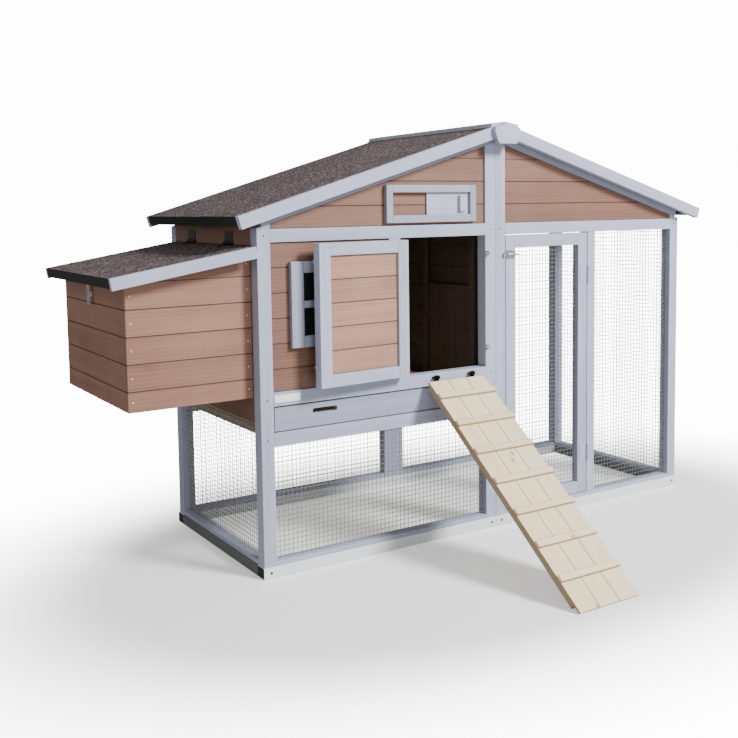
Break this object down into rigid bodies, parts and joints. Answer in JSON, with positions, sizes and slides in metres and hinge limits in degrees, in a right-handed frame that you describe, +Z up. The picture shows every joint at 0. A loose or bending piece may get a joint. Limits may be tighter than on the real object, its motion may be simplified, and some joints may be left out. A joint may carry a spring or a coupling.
{
  "type": "chicken coop",
  "caption": "Timber chicken coop: raised boarded house with nest box and ramp beside a wire run, with hinged doors and lid, sliding bolts, tray, vent and pop door.",
  "frame": {"origin": "on the ground, under the middle of the whole coop's bounding box", "axes": "+X along the length, from the nest box end to the run end; +Y from the ramp to the back; +Z up"},
  "size_m": [1.932, 1.2068, 1.1545],
  "materials": {
    "ground_strip": "pale bluish white, satin",
    "grey_timber": "grey washed sawn softwood",
    "brown_boards": "reddish brown stained boards",
    "dark_timber": "stained softwood, inside",
    "roof_board": "softwood boards under felt",
    "mineral_felt": "mineral roofing felt, matt and gritty",
    "ridge_grey": "dark grey, matt",
    "ridge_plate": "near white, satin",
    "welded_wire": "galvanised welded wire",
    "clear_pane": "clear acrylic",
    "pop_board": "stained plywood",
    "zinc_hardware": "bright zinc plate",
    "pine": "natural pine"
  },
  "bodies": {
    "coop": {"base_strips_long": "ground_strip", "base_strips_ends": "ground_strip", "front_corner_posts": "grey_timber", "front_centre_posts": "grey_timber", "back_posts": "grey_timber", "run_door_post": "grey_timber", "doorway_jamb": "grey_timber", "house_front_rails": "grey_timber", "run_front_rails": "grey_timber", "back_rails": "grey_timber", "end_rails": "grey_timber", "roof_rafters": "dark_timber", "roof_decks": "roof_board", "roof_felt": "mineral_felt", "bargeboards": "grey_timber", "ridge_cap": "ridge_grey", "ridge_end_plates": "ridge_plate", "front_wall_boards": "brown_boards", "front_gable_boards": "brown_boards", "left_wall_boards": "brown_boards", "back_wall_boards": "brown_boards", "partition_boards": "dark_timber", "pop_door_guides": "dark_timber", "house_mesh": "welded_wire", "run_mesh": "welded_wire", "window_frame": "grey_timber", "window_pane": "clear_pane", "vent_frame": "grey_timber", "nest_floor": "dark_timber", "nest_boards": "brown_boards", "nest_divider": "dark_timber", "fixed_hinge_leaves": "zinc_hardware", "latch_keepers": "zinc_hardware", "ramp_eyes": "zinc_hardware", "tray_runners": "pine", "label_plate": "ridge_plate"},
    "coop_door": {"coop_door_frame": "grey_timber", "coop_door_boards": "brown_boards", "coop_bolt_housings": "zinc_hardware", "coop_door_hinge_leaves": "zinc_hardware"},
    "coop_upper_bolt": {"coop_upper_bolt": "zinc_hardware"},
    "coop_lower_bolt": {"coop_lower_bolt": "zinc_hardware"},
    "run_door": {"run_door_frame": "grey_timber", "run_door_mesh": "welded_wire", "run_bolt_housing": "zinc_hardware", "run_door_hinge_leaves": "zinc_hardware"},
    "run_bolt": {"run_bolt": "zinc_hardware"},
    "nest_lid": {"nest_lid_deck": "roof_board", "nest_lid_felt": "mineral_felt", "nest_lid_fascias": "grey_timber", "nest_lid_hinge_leaves": "zinc_hardware", "hasp_bracket": "zinc_hardware"},
    "nest_hasp": {"nest_hasp": "zinc_hardware"},
    "ramp": {"ramp_stringers": "pine", "ramp_treads": "pine", "ramp_hooks": "zinc_hardware"},
    "tray": {"tray_front": "grey_timber", "tray_pan": "pine"},
    "vent_slider": {"vent_slider": "grey_timber"},
    "pop_door": {"pop_door": "pop_board"}
  },
  "joints": [
    {"name": "coop_door_swing", "type": "hinge", "parent": "coop", "child": "coop_door", "pos_m": [-0.177, -0.01261, 0.655], "axis": [0, 0, 1], "range_deg": [0, 175.5]},
    {"name": "coop_upper_bolt_slide", "type": "slide", "parent": "coop_door", "child": "coop_upper_bolt", "axis": [-0.9969, -0.0785, 0], "range_m": [0, 0.012]},
    {"name": "coop_lower_bolt_slide", "type": "slide", "parent": "coop_door", "child": "coop_lower_bolt", "axis": [-0.9969, -0.0785, 0], "range_m": [0, 0.012]},
    {"name": "run_door_swing", "type": "hinge", "parent": "coop", "child": "run_door", "pos_m": [0.502, -0.01261, 0.44], "axis": [0, 0, 1], "range_deg": [0, 110]},
    {"name": "run_bolt_slide", "type": "slide", "parent": "run_door", "child": "run_bolt", "axis": [-1, 0, 0], "range_m": [0, 0.012]},
    {"name": "nest_lid_swing", "type": "hinge", "parent": "coop", "child": "nest_lid", "pos_m": [-0.603, 0.27539, 0.8371], "axis": [0, 1, 0], "range_deg": [0, 45]},
    {"name": "nest_hasp_swing", "type": "hinge", "parent": "nest_lid", "child": "nest_hasp", "pos_m": [-0.9265, 0.27539, 0.75662], "axis": [0, 1, 0], "range_deg": [0, 45]},
    {"name": "ramp_lift_off", "type": "slide", "parent": "coop", "child": "ramp", "axis": [0, -0.6101, 0.7923], "range_m": [0, 0.43]},
    {"name": "tray_slide", "type": "slide", "parent": "coop", "child": "tray", "axis": [0, -1, 0], "range_m": [0, 0.43]},
    {"name": "vent_slide", "type": "slide", "parent": "coop", "child": "vent_slider", "axis": [-1, 0, 0], "range_m": [0, 0.11]},
    {"name": "pop_door_slide", "type": "slide", "parent": "coop", "child": "pop_door", "axis": [0, 0, 1], "range_m": [0, 0.24]}
  ],
  "couplings": [
    {"joint": "tray_slide", "follows": "ramp_lift_off", "ratio": 1}
  ]
}
